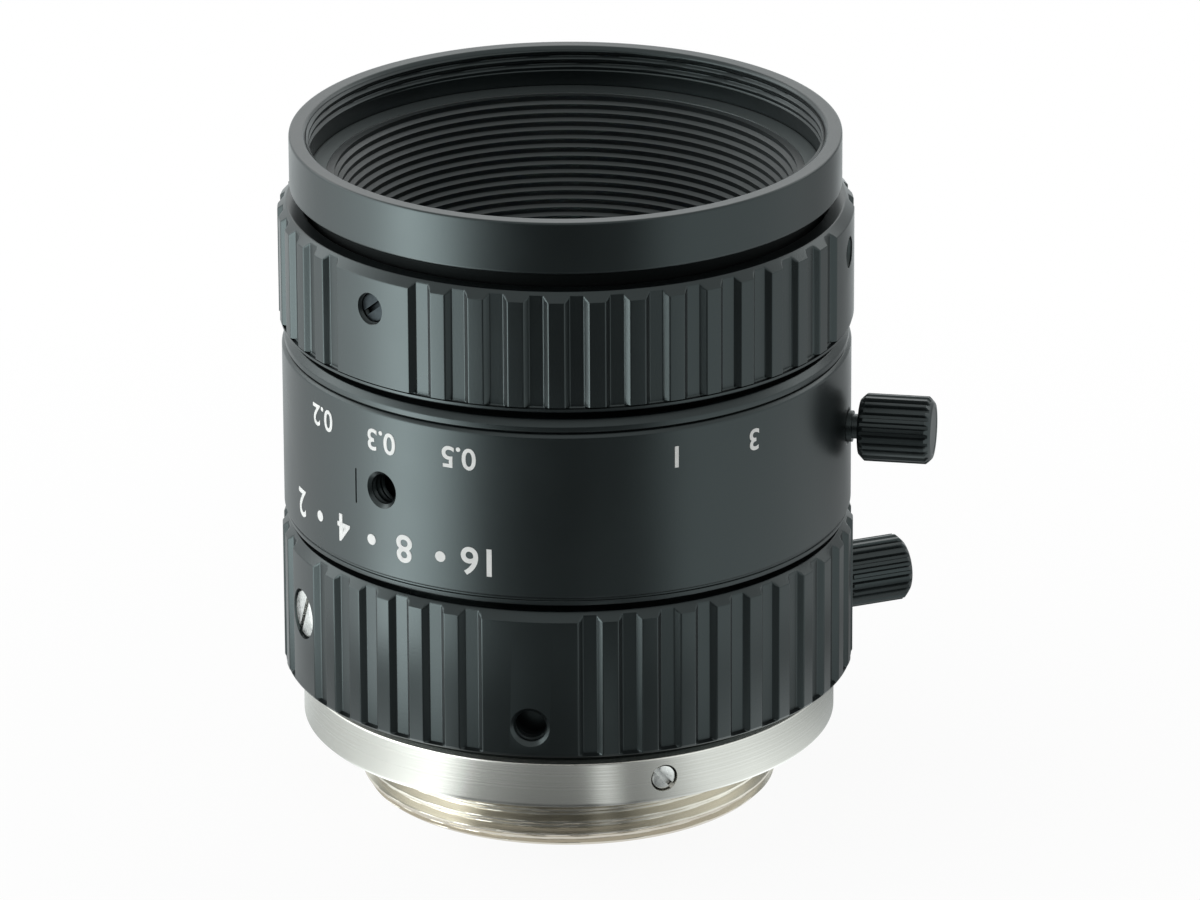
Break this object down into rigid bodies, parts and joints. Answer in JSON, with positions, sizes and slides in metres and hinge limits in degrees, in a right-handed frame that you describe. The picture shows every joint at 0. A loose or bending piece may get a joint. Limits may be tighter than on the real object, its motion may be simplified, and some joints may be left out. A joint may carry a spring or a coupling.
{
  "type": "c-mount machine vision lens",
  "caption": "Small manual machine vision lens with a fluted focus ring, a fluted iris ring, thumbscrew locks and a plated C-mount thread.",
  "frame": {"origin": "centre of the mount's flange seat, the plane that meets the camera's face", "axes": "+Z along the optical axis from the mount towards the front of the lens; -Y is the side with the barrel's first free threaded hole, seen in the picture"},
  "size_m": [0.0397, 0.0346, 0.0413],
  "materials": {
    "black_anodised": "satin black anodised",
    "black_baffle": "matt black anodised, turned ribs",
    "nickel_plate": "nickel plated, fine turned",
    "steel_screw": "bright steel",
    "black_screw": "black oxide",
    "lock_screw": "black anodised, knurled",
    "coated_glass": "polished, coated",
    "blade_sheet": "matt black blade steel",
    "bare_brass": "turned"
  },
  "bodies": {
    "barrel": {"main_barrel": "black_anodised", "c_mount_ring": "nickel_plate", "mount_set_screws": "steel_screw", "barrel_collar": "black_anodised", "guide_key": "bare_brass"},
    "focus_ring": {"focus_ring": "black_anodised", "focus_set_screws": "black_screw", "helicoid_sleeve": "bare_brass"},
    "lens_cell": {"cell_barrel": "black_anodised", "front_ring": "black_anodised", "front_baffle": "black_baffle", "front_cell": "black_anodised", "front_retaining_ring": "black_anodised", "front_element_1": "coated_glass", "front_element_2": "coated_glass", "front_element_3": "coated_glass", "front_spacer": "black_anodised", "iris_base": "black_anodised", "rear_cell": "black_anodised", "rear_element_1": "coated_glass", "rear_element_2": "coated_glass", "rear_element_3": "coated_glass", "rear_spacer": "black_anodised", "rear_retaining_ring": "black_anodised"},
    "iris_ring": {"iris_ring": "black_anodised", "iris_drive_screw": "steel_screw"},
    "iris_cam": {"iris_cam_ring": "black_anodised"},
    "focus_lock": {"focus_lock_screw": "lock_screw"},
    "iris_lock": {"iris_lock_screw": "lock_screw"},
    "iris_blade_1": {"iris_blade_1": "blade_sheet"},
    "iris_blade_2": {"iris_blade_2": "blade_sheet"},
    "iris_blade_3": {"iris_blade_3": "blade_sheet"},
    "iris_blade_4": {"iris_blade_4": "blade_sheet"},
    "iris_blade_5": {"iris_blade_5": "blade_sheet"},
    "iris_blade_6": {"iris_blade_6": "blade_sheet"}
  },
  "joints": [
    {"name": "focus_turn", "type": "hinge", "parent": "barrel", "child": "focus_ring", "pos_m": [0, 0, 0.0295], "axis": [0, 0, 1], "range_deg": [-33, 166]},
    {"name": "focus_travel", "type": "slide", "parent": "barrel", "child": "lens_cell", "axis": [0, 0, 1], "range_m": [-0.00059, 0.00299]},
    {"name": "iris_turn", "type": "hinge", "parent": "barrel", "child": "iris_ring", "pos_m": [0, 0, 0.0084], "axis": [0, 0, 1], "range_deg": [0, 50]},
    {"name": "cam_turn", "type": "hinge", "parent": "lens_cell", "child": "iris_cam", "pos_m": [0, 0, 0.011], "axis": [0, 0, 1], "range_deg": [0, 50]},
    {"name": "blade_1_swing", "type": "hinge", "parent": "lens_cell", "child": "iris_blade_1", "pos_m": [0.011, 0, 0.0119], "axis": [0, 0, 1], "range_deg": [0, 30]},
    {"name": "blade_2_swing", "type": "hinge", "parent": "lens_cell", "child": "iris_blade_2", "pos_m": [0.0055, 0.00953, 0.0119], "axis": [0, 0, 1], "range_deg": [0, 30]},
    {"name": "blade_3_swing", "type": "hinge", "parent": "lens_cell", "child": "iris_blade_3", "pos_m": [-0.0055, 0.00953, 0.0119], "axis": [0, 0, 1], "range_deg": [0, 30]},
    {"name": "blade_4_swing", "type": "hinge", "parent": "lens_cell", "child": "iris_blade_4", "pos_m": [-0.011, 0, 0.0119], "axis": [0, 0, 1], "range_deg": [0, 30]},
    {"name": "blade_5_swing", "type": "hinge", "parent": "lens_cell", "child": "iris_blade_5", "pos_m": [-0.0055, -0.00953, 0.0119], "axis": [0, 0, 1], "range_deg": [0, 30]},
    {"name": "blade_6_swing", "type": "hinge", "parent": "lens_cell", "child": "iris_blade_6", "pos_m": [0.0055, -0.00953, 0.0119], "axis": [0, 0, 1], "range_deg": [0, 30]},
    {"name": "focus_lock_turn", "type": "hinge", "parent": "barrel", "child": "focus_lock", "pos_m": [0.0197, -0.00347, 0.01935], "axis": [0.9848, -0.1736, 0], "range_deg": [0, 360]},
    {"name": "iris_lock_turn", "type": "hinge", "parent": "iris_ring", "child": "iris_lock", "pos_m": [0.01851, 0.00757, 0.0057], "axis": [0.9255, 0.3786, 0], "range_deg": [0, 360]}
  ],
  "couplings": [
    {"joint": "focus_turn", "follows": "focus_travel", "rad_per_m": 969.63},
    {"joint": "cam_turn", "follows": "iris_turn", "ratio": 1},
    {"joint": "blade_1_swing", "follows": "iris_turn", "ratio": 0.6},
    {"joint": "blade_2_swing", "follows": "iris_turn", "ratio": 0.6},
    {"joint": "blade_3_swing", "follows": "iris_turn", "ratio": 0.6},
    {"joint": "blade_4_swing", "follows": "iris_turn", "ratio": 0.6},
    {"joint": "blade_5_swing", "follows": "iris_turn", "ratio": 0.6},
    {"joint": "blade_6_swing", "follows": "iris_turn", "ratio": 0.6}
  ]
}
